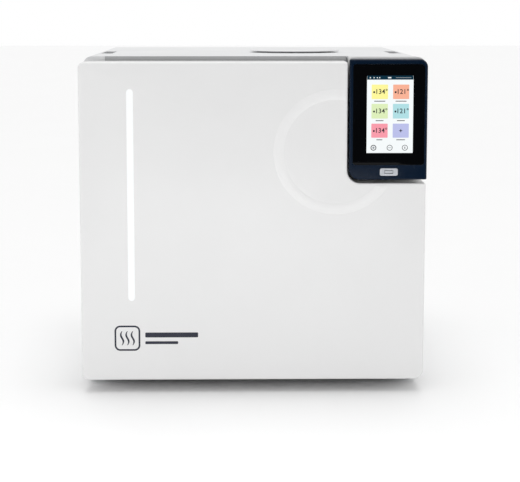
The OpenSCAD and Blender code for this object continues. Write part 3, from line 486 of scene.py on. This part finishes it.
WHITE = (0.82, 0.82, 0.82)
MATERIALS = {
    "door_white": moulded("door_white", WHITE, 0.34, spread=0.008, coat=0.15),
    "cover_grey": powder_coat("cover_grey", (0.78, 0.785, 0.79)),
    "trim_grey": moulded("trim_grey", (0.46, 0.465, 0.47), 0.5),
    "light_bar": lit("light_bar", (0.97, 0.985, 1.0), 0.92),
    "navy": moulded("navy", (0.0018, 0.0088, 0.024), 0.25, spread=0.1, coat=0.06, specular=0.12),
    "black_glass": dark_glass("black_glass", (0.0022, 0.0024, 0.003), 0.08),
    "display": lit("display", (0.93, 0.97, 0.98), 0.9),
    "usb_metal": satin_plate("usb_metal", (0.62, 0.64, 0.68)),
    "stainless": brushed("stainless", (0.60, 0.61, 0.62)),
    "polished_steel": polished("polished_steel", (0.72, 0.73, 0.74)),
    "zinc_steel": zinc("zinc_steel", (0.52, 0.54, 0.56)),
    "dark_steel": cast_metal("dark_steel", (0.10, 0.105, 0.11)),
    "silicone": soft_rubber("silicone", (0.42, 0.10, 0.06), 0.5),
    "rubber": soft_rubber("rubber", (0.018, 0.018, 0.02)),
    "black_plastic": moulded("black_plastic", (0.012, 0.012, 0.014), 0.45, spread=0.1),
    "niche_plastic": moulded("niche_plastic", (0.60, 0.63, 0.66), 0.45),
    "filter_white": moulded("filter_white", (0.80, 0.83, 0.84), 0.3),
    "brass": machined("brass", (0.72, 0.52, 0.24)),
    "copper": machined("copper", (0.72, 0.36, 0.20), 0.3),
    "blue_plastic": moulded("blue_plastic", (0.03, 0.12, 0.42), 0.35, spread=0.06),
    "grey_plastic": moulded("grey_plastic", (0.13, 0.135, 0.14), 0.4, spread=0.06),
    "red_plastic": moulded("red_plastic", (0.45, 0.03, 0.02), 0.35, spread=0.06),
    "lagging": felt("lagging", (0.74, 0.68, 0.48)),
    "tank_plastic": moulded("tank_plastic", (0.70, 0.77, 0.84), 0.35, spread=0.03),
    "aluminium": brushed("aluminium", (0.70, 0.71, 0.72), 0.35, (60, 1, 60)),
    "circuit_board": moulded("circuit_board", (0.01, 0.12, 0.05), 0.35, spread=0.15),
    # The ring is the door's own white plastic made a little lighter: a painted highlight on the raised
    # band.
    "ring_painted_highlight": moulded("ring_painted_highlight", (0.85, 0.85, 0.85), 0.34, spread=0.008, coat=0.15),
    "print_navy": moulded("print_navy", (0.012, 0.016, 0.035), 0.4, spread=0.1),
    "screen_bar": lit("screen_bar", srgb(10, 45, 62), 1.0),
    "tile_yellow": lit("tile_yellow", srgb(245, 238, 150), 1.0),
    "tile_coral": lit("tile_coral", srgb(240, 172, 145), 1.0),
    "tile_green": lit("tile_green", srgb(213, 230, 180), 1.0),
    "tile_teal": lit("tile_teal", srgb(170, 215, 220), 1.0),
    "tile_pink": lit("tile_pink", srgb(240, 150, 165), 1.0),
    "tile_violet": lit("tile_violet", srgb(180, 185, 225), 1.0),
    "screen_ink": lit("screen_ink", srgb(45, 45, 50), 1.0),
    "screen_grey": lit("screen_grey", srgb(150, 155, 160), 1.0),
}


def dress_nodes():
    """Gives every CAD node the material of its slot, and soft edges."""
    edge_width = {"top_cover": 0.5, "left_panel": 0.4, "right_panel": 0.4, "rear_panel": 0.4,
                  "front_trim": 0.8, "console_housing": 1.2, "tank_lid": 0.8, "service_niche": 0.8}
    for part in frame["record"]["subparts"]:
        obj = frame["nodes"][part["node"]]
        obj.data.materials.clear()
        obj.data.materials.append(MATERIALS[part["material_slot"]])
        soften(part["node"], edge_width.get(part["node"], 0.3) * MM)


# ------------------------------------------------------------------ door

def door_corners():
    """Door outline from the lower right, with the console's notch at the upper right."""
    x0, z0, x1, z1 = DOOR_LOW.x, DOOR_LOW.z, DOOR_HIGH.x, DOOR_HIGH.z
    br, tl, bl, notch, lip = 13 * MM, 8 * MM, 11 * MM, 18 * MM, 3 * MM
    return [
        corner((x1 - br, z0 + br), br, -90),
        corner((x1 - lip, NOTCH_Z - lip), lip, 0),
        corner((NOTCH_X + notch, NOTCH_Z + notch), notch, 270, -90, True),
        corner((NOTCH_X - lip, z1 - lip), lip, 0),
        corner((x0 + tl, z1 - tl), tl, 90),
        corner((x0 + bl, z0 + bl), bl, 180),
    ]


def slot_corners(grow):
    """Outline of the light bar's slot, with round ends, widened by grow."""
    flange = 4 * MM
    x0, x1 = GUIDE_LOW.x + flange, GUIDE_HIGH.x - flange
    z0, z1 = GUIDE_LOW.z + flange, GUIDE_HIGH.z - flange
    half = (x1 - x0) / 2
    middle = (x0 + x1) / 2
    return [corner((middle, z0 + half), half + grow, 180, 180),
            corner((middle, z1 - half), half + grow, 0, 180)]


def door_moulding():
    """The door's shell: rounded front edge, hollow back, light slot and hinge recesses."""
    corners = door_corners()
    wall, edge_radius, past = 3 * MM, 3 * MM, MM
    rebate_w, rebate_d = 21 * MM, 13 * MM
    recess_half, recess_d = HALF_LEAF + MM, 9 * MM
    slot_gap, slot_mouth, chamfer = 0.05 * MM, 0.15 * MM, 0.2 * MM
    left, back = DOOR_LOW.x, DOOR_HIGH.y
    below, above = DOOR_LOW.z - past, DOOR_HIGH.z + past
    hole = [lift(outline(slot_corners(slot_mouth)), FRONT),
            lift(outline(slot_corners(slot_gap)), FRONT + chamfer),
            lift(outline(slot_corners(slot_gap)), back)]
    outer = [lift(outline(corners), back)] + fillet_loops(corners, FRONT, edge_radius, 8)
    block = Solid()
    block.stack(outer)
    block.stack(hole)
    block.cap([outer[-1], hole[0]])
    block.cap([outer[0], hole[-1]])
    piece = block.piece("door_moulding", ["door_white"], "door", ["door_shell"])

    cavity = Solid()
    cavity.slab(outline(corners, wall), FRONT + wall, back + past)
    hollow = cavity.mesh_object("hollow")
    cut(hollow, (left - past, back - rebate_d - wall, below),
        (left + rebate_w + wall, back + 2 * past, above))
    subtract(piece, hollow)
    rebate_edge = left + rebate_w
    cut(piece, (left - past, back - rebate_d, below), (rebate_edge, back + past, above))
    for leaf_z in LEAF_HEIGHTS:
        cut(piece, (rebate_edge - past, back - recess_d, leaf_z - recess_half),
            (rebate_edge + wall + past, back + past, leaf_z + recess_half))
    piece.data.set_sharp_from_angle(angle=SMOOTH_BELOW)


def door_ring():
    """Very shallow circular band on the door's face beside the console, in a slightly lighter copy of
    the door's white: a painted highlight on the band.
    """
    left_of_notch, above_notch, console_gap = 15.6 * MM, 43.5 * MM, 2.6 * MM
    inner, outer, slope, height, sunk = 72 * MM, 87 * MM, 1.4 * MM, 0.3 * MM, 0.1 * MM
    centre = (NOTCH_X - left_of_notch, NOTCH_Z + above_notch)
    section = [(inner, sunk), (inner + slope, -height), (outer - slope, -height), (outer, sunk)]
    solid = Solid()
    solid.stack([lift(circle(centre, radius, 180), FRONT + depth)
                 for radius, depth in section + section[:1]])
    piece = solid.piece("door_ring", ["ring_painted_highlight"], "door", slot="door_white")
    cut(piece, (NOTCH_X - console_gap, FRONT - MM, NOTCH_Z - console_gap),
        (NOTCH_X + outer, FRONT + MM, NOTCH_Z + 2 * outer))


def wave_points(x, low, high, swing, width):
    """Closed outline of one upright wave that tapers to its ends."""
    end_share, steps = 0.35, 16
    left, right = [], []
    for i in range(steps + 1):
        t = i / steps
        middle = x + swing * math.sin(2 * math.pi * t)
        half = width / 2 * (end_share + (1 - end_share) * math.sin(math.pi * t))
        z = low + (high - low) * t
        left.append((middle - half, z))
        right.append((middle + half, z))
    return right + left[::-1]


def emblem():
    """Generic printed mark: a rounded square with three rising waves, and two plain bars."""
    from_left, from_bottom, side = 46 * MM, 42 * MM, 36 * MM
    radius, margin = 8 * MM, 8 * MM
    stroke, pitch, swing, wave_width = 2.4 * MM, 7.5 * MM, 1.8 * MM, 2.8 * MM
    bar_gap, bar_radius = 7 * MM, 1.2 * MM
    upper_bar, lower_bar = (19, 7, 74), (9.5, 4, 46)
    x, z = DOOR_LOW.x + from_left, DOOR_LOW.z + from_bottom
    front, back = FRONT - 0.08 * MM, FRONT + 0.05 * MM
    outer = rect_corners((x, z), (x + side, z + side), [radius] * 4)
    inner = rect_corners((x + stroke, z + stroke), (x + side - stroke, z + side - stroke),
                         [radius - stroke] * 4)
    solid = plate(outer, front, back, 0.05 * MM, [inner], 0.03 * MM)
    for i in (-1, 0, 1):
        middle = x + side / 2 + i * pitch
        points = wave_points(middle, z + margin, z + side - margin, swing, wave_width)
        solid.slab(points, front, back)
    bar_x = x + side + bar_gap
    for low, height, width in (upper_bar, lower_bar):
        bar = rect_corners((bar_x, z + low * MM), (bar_x + width * MM, z + (low + height) * MM),
                           [bar_radius] * 4)
        solid.slab(outline(bar), front, back)
    solid.piece("door_emblem", ["print_navy"], "door", slot="navy")


# ------------------------------------------------------------------ console

def face_corners(low, high, radii, grow=0.0):
    """Corners of a box's front outline, widened by grow."""
    return rect_corners((low.x - grow, low.z - grow), (high.x + grow, high.z + grow), radii)


def console_frame():
    """Navy bezel with a broad rounded edge, open for the glass and the USB plate."""
    overhang = Vector((1.0 * MM, 0, 0))
    edge_radius, gap, lip = 2.9 * MM, 0.15 * MM, 0.1 * MM
    outer = face_corners(BEZEL_LOW, BEZEL_HIGH + overhang, BEZEL_RADII)
    glass = face_corners(GLASS_LOW, GLASS_HIGH, GLASS_RADII, gap)
    usb = face_corners(USB_LOW, USB_HIGH, [USB_RADIUS + gap] * 4, gap)
    solid = plate(outer, FRONT, BEZEL_HIGH.y, edge_radius, [glass, usb], lip)
    solid.piece("console_frame", ["navy"], "cabinet", ["console_bezel"])


def cover_glass():
    """Black glass with polished edges and a clear area over the display."""
    outer = face_corners(GLASS_LOW, GLASS_HIGH, GLASS_RADII)
    window = face_corners(SCREEN_LOW, SCREEN_HIGH, SCREEN_RADII)
    edge_radius, lip = 0.6 * MM, 0.02 * MM
    solid = plate(outer, GLASS_LOW.y, GLASS_HIGH.y, edge_radius, [window], lip)
    solid.piece("cover_glass", ["black_glass"], "cabinet", ["console_glass"])


class Screen:
    """Draws the display's picture as thin layers, in shares of its width and height."""

    TILES = ["tile_yellow", "tile_coral", "tile_green", "tile_teal", "tile_pink", "tile_violet"]
    KINDS = ["display", "screen_bar", *TILES, "screen_ink", "screen_grey"]
    DEPTH = 0.12 * MM
    STEP = 0.02 * MM
    THICKNESS = 0.03 * MM
    SQUARE = 0.01 * MM

    def __init__(self):
        self.solid = Solid()
        self.width = SCREEN_HIGH.x - SCREEN_LOW.x
        self.height = SCREEN_HIGH.z - SCREEN_LOW.z
        self.face = GLASS_LOW.y + self.DEPTH

    def at(self, u, v):
        """Place of a share of the width and a share of the height, from the upper left."""
        return SCREEN_LOW.x + u * self.width, SCREEN_HIGH.z - v * self.height

    def block(self, kind, u, v, radius=SQUARE, layer=1):
        """Rectangle from u[0] to u[1] across and v[0] to v[1] down."""
        x0, z1 = self.at(u[0], v[0])
        x1, z0 = self.at(u[1], v[1])
        points = outline(rect_corners((x0, z0), (x1, z1), [radius] * 4), steps=4)
        self.shape(kind, points, layer)

    def disc(self, kind, u, v, radius, layer=2):
        """Round dot with its middle at u across and v down."""
        self.shape(kind, circle(self.at(u, v), radius, 24), layer)

    def shape(self, kind, points, layer):
        """Thin solid on the given layer; higher layers lie over lower ones."""
        front = self.face - layer * self.STEP
        self.solid.slab(points, front, front + self.THICKNESS, self.KINDS.index(kind))

    def digits(self, text, u, v, size):
        """Generic figures in dark ink, drawn with the built-in font and made bolder."""
        layer, bolder = 3, 0.012
        curve = bpy.data.curves.new("digits", "FONT")
        curve.body = text
        curve.size = size
        curve.align_x = "CENTER"
        curve.align_y = "CENTER"
        curve.resolution_u = 3
        curve.offset = bolder * size
        holder = bpy.data.objects.new("digits", curve)
        mesh = bpy.data.meshes.new_from_object(holder)
        x, z = self.at(u, v)
        y = self.face - layer * self.STEP
        start = len(self.solid.verts)
        self.solid.verts.extend((x + p.co.x, y, z + p.co.y) for p in mesh.vertices)
        for face in mesh.polygons:
            self.solid.faces.append(tuple(start + i for i in face.vertices))
            self.solid.kinds.append(self.KINDS.index("screen_ink"))
        bpy.data.objects.remove(holder)

    def status_bar(self):
        """Dark bar with four dots and two dashes."""
        self.block("screen_bar", (0.003, 0.997), (0.0, 0.052))
        for u in (0.07, 0.15, 0.22, 0.27):
            self.disc("display", u, 0.027, 0.8 * MM)
        self.block("display", (0.45, 0.52), (0.019, 0.034), layer=2)
        self.block("screen_grey", (0.62, 0.95), (0.023, 0.029), layer=2)

    def tile(self, kind, u, v, figure, caption):
        """Coloured programme tile with its figure, or a plus, and a caption bar under it."""
        self.block(kind, u, v, 0.8 * MM)
        middle_u, middle_v = sum(u) / 2, sum(v) / 2
        if figure:
            self.disc("screen_ink", u[0] + 0.055, middle_v + 0.004, 1.4 * MM, 3)
            self.digits(figure + "°", middle_u + 0.035, middle_v, 9.3 * MM)
        else:
            self.block("screen_ink", (middle_u - 0.035, middle_u + 0.035),
                       (middle_v - 0.005, middle_v + 0.005), layer=3)
            self.block("screen_ink", (middle_u - 0.008, middle_u + 0.008),
                       (middle_v - 0.021, middle_v + 0.021), layer=3)
        self.block("screen_ink", (middle_u - caption / 2, middle_u + caption / 2),
                   (v[1] + 0.022, v[1] + 0.032), 0.4 * MM)

    def buttons(self):
        """Three ring buttons, marked with a dot, a dash and a bar."""
        v = 0.932
        left, middle, right = 0.15, 0.50, 0.83
        for u, opening in ((left, 2.9 * MM), (middle, 3.2 * MM), (right, 3.2 * MM)):
            self.disc("screen_ink", u, v, 4.0 * MM, 1)
            self.disc("display", u, v, opening, 2)
        self.disc("screen_grey", left, v, 1.6 * MM, 3)
        self.block("screen_grey", (middle - 0.035, middle + 0.035), (v - 0.004, v + 0.004), layer=3)
        self.block("screen_ink", (right - 0.009, right + 0.009), (v - 0.014, v + 0.014), layer=3)


def display_picture():
    """Start screen: dark status bar, six programme tiles, their captions and three buttons."""
    columns = ((0.10, 0.454), (0.562, 0.91))
    rows = ((0.115, 0.302), (0.363, 0.554), (0.619, 0.802))
    figures = ("134", "121", "134", "121", "134", None)
    captions = (0.24, 0.24, 0.17, 0.17, 0.13, 0.19)
    places = [(column, row) for row in rows for column in columns]
    screen = Screen()
    base = outline(face_corners(SCREEN_LOW, SCREEN_HIGH, SCREEN_RADII, -0.02 * MM), steps=4)
    screen.solid.slab(base, screen.face, SCREEN_LOW.y + 4 * MM)
    screen.status_bar()
    for kind, (u, v), figure, caption in zip(screen.TILES, places, figures, captions):
        screen.tile(kind, u, v, figure, caption)
    screen.buttons()
    screen.solid.piece("display_picture", screen.KINDS, "cabinet", ["display_panel"])


def usb_plate():
    """Satin plate with a shallow field round the socket, the sleeve and its tongue."""
    front = USB_LOW.y
    floor = front + 0.7 * MM
    plate_back = front + 2.2 * MM
    socket_back = front + 16 * MM
    tongue_front = front + 1.2 * MM
    middle_x = (USB_LOW.x + USB_HIGH.x) / 2
    middle_z = (USB_LOW.z + USB_HIGH.z) / 2

    def field(half_x, half_z, radius):
        """Corners of a rectangle round the plate's middle."""
        return rect_corners((middle_x - half_x, middle_z - half_z),
                            (middle_x + half_x, middle_z + half_z), [radius] * 4)

    outer = face_corners(USB_LOW, USB_HIGH, [USB_RADIUS] * 4)
    recess = field(9 * MM, 3.0 * MM, 1.2 * MM)
    solid = plate(outer, front, plate_back, 0.5 * MM, [recess], 0.25 * MM)
    rim = outline(recess)
    mouth = outline(field(6.25 * MM, 2.3 * MM, 0.5 * MM))
    tongue = outline(field(5.6 * MM, 1.5 * MM, 0.2 * MM))
    solid.stack([lift(rim, floor), lift(rim, floor + 0.4 * MM)])
    solid.cap([lift(rim, floor), lift(mouth, floor)])
    solid.stack([lift(mouth, floor), lift(mouth, socket_back)])
    solid.cap([lift(mouth, socket_back)])
    solid.slab(tongue, tongue_front, socket_back)
    solid.piece("usb_plate", ["usb_metal"], "cabinet", ["usb_port"])


dress_nodes()
door_moulding()
door_ring()
emblem()
console_frame()
cover_glass()
display_picture()
usb_plate()


# ------------------------------------------------------------------ studio and camera

def studio():
    """White surroundings, pale floor, two soft suns, two low front lights and a dark card."""
    surroundings()
    pale_floor()
    soft_sun("overhead", heading=(0.0, 0.0, -1.0), angle=40, energy=0.74)
    soft_sun("from_behind", heading=(0.0, -0.6, -1.0), angle=30, energy=0.36)
    softbox("low_left", (-0.90, -1.30, 0.40), target=(-0.10, FRONT, 0.10), size=(0.6, 0.6), power=0.80)
    softbox("near_front", (0.0, -1.00, 0.18), target=(0.0, FRONT, 0.08), size=(0.6, 0.12), power=0.44)
    dark_card()


def surroundings():
    """White world: full to the camera, milder as light, and darker near the horizon in gloss."""
    to_camera, as_light = 1.0, 0.73
    gloss_at_horizon, gloss_high_up, high_up = 0.25, 0.9, 0.6
    world = bpy.data.worlds.new("studio")
    bpy.context.scene.world = world
    world.use_nodes = True
    tree = world.node_tree
    background = tree.nodes["Background"]
    background.inputs["Color"].default_value = (1, 1, 1, 1)

    def change(share, low, high, full=1.0):
        """Goes from low to high while the share goes from 0 to full."""
        node = tree.nodes.new("ShaderNodeMapRange")
        node.inputs["From Max"].default_value = full
        tree.links.new(share, node.inputs["Value"])
        for end, name in ((low, "To Min"), (high, "To Max")):
            if isinstance(end, float):
                node.inputs[name].default_value = end
            else:
                tree.links.new(end, node.inputs[name])
        return node.outputs["Result"]

    ray = tree.nodes.new("ShaderNodeLightPath")
    direction = tree.nodes.new("ShaderNodeTexCoord")
    split = tree.nodes.new("ShaderNodeSeparateXYZ")
    tree.links.new(direction.outputs["Generated"], split.inputs["Vector"])
    gloss = change(split.outputs["Z"], gloss_at_horizon, gloss_high_up, high_up)
    light = change(ray.outputs["Is Glossy Ray"], as_light, gloss)
    strength = change(ray.outputs["Is Camera Ray"], light, to_camera)
    tree.links.new(strength, background.inputs["Strength"])


def pale_floor():
    """Wide sheet of pale, slightly glossy paper."""
    m = Nodes("floor_paper")
    m.set(Roughness=0.45, Specular_IOR_Level=0.4)
    m.colour((0.975, 0.975, 0.975), 0.004, m.noise(2.0))
    half = 20.0
    paper = stage_card("floor", [(-half, -half, 0), (half, -half, 0), (half, half, 0), (-half, half, 0)])
    paper.data.materials.append(m.material)


def add_lamp(name, light, heading):
    """Puts a light into the scene, facing its heading."""
    lamp = bpy.data.objects.new(name, light)
    bpy.context.scene.collection.objects.link(lamp)
    lamp.rotation_euler = Vector(heading).to_track_quat("-Z", "Y").to_euler()
    return lamp


def soft_sun(name, heading, angle, energy):
    """Even light from one direction with soft shadows."""
    light = bpy.data.lights.new(name, "SUN")
    light.energy = energy
    light.angle = math.radians(angle)
    add_lamp(name, light, heading)


def softbox(name, place, target, size, power):
    """Rectangular area light that isn't seen by the camera."""
    light = bpy.data.lights.new(name, "AREA")
    light.shape = "RECTANGLE"
    light.size, light.size_y = size
    light.energy = power
    lamp = add_lamp(name, light, Vector(target) - Vector(place))
    lamp.location = place
    lamp.visible_camera = False


def stage_card(name, corners):
    """Flat four-cornered card that belongs to the stage."""
    mesh = bpy.data.meshes.new(name)
    mesh.from_pydata(corners, [], [(0, 1, 2, 3)])
    card = bpy.data.objects.new(name, mesh)
    bpy.context.scene.collection.objects.link(card)
    return card


def dark_card():
    """Black card before the machine that is seen only in its glossy faces."""
    m = Nodes("flag_cloth")
    m.set(Roughness=1.0, Specular_IOR_Level=0.0)
    m.colour((0.004, 0.004, 0.004), 0.2, m.noise(40.0))
    x0, x1, z0, z1 = -0.45, 0.6, 0.13, 0.8
    y = -1.1
    card = stage_card("dark_card", [(x0, y, z0), (x1, y, z0), (x1, y, z1), (x0, y, z1)])
    card.data.materials.append(m.material)
    card.visible_camera = False
    card.visible_diffuse = False
    card.visible_shadow = False
    card.visible_transmission = False


def camera():
    """Long lens a little above the door and left of its middle."""
    left_of_middle, before_door, above_cover = 0.0269, 2.262, 0.0702
    looks_down, turned_right = 8.15, 0.93
    data = bpy.data.cameras.new("camera")
    data.sensor_width = 36.0
    data.lens = 113.7
    data.clip_end = 100.0
    eye = bpy.data.objects.new("camera", data)
    bpy.context.scene.collection.objects.link(eye)
    eye.location = (-left_of_middle, FRONT - before_door, COVER_TOP + above_cover)
    eye.rotation_euler = (math.radians(90 - looks_down), 0.0, math.radians(-turned_right))
    bpy.context.scene.camera = eye


studio()
camera()
bpy.context.scene.view_settings.view_transform = "Standard"
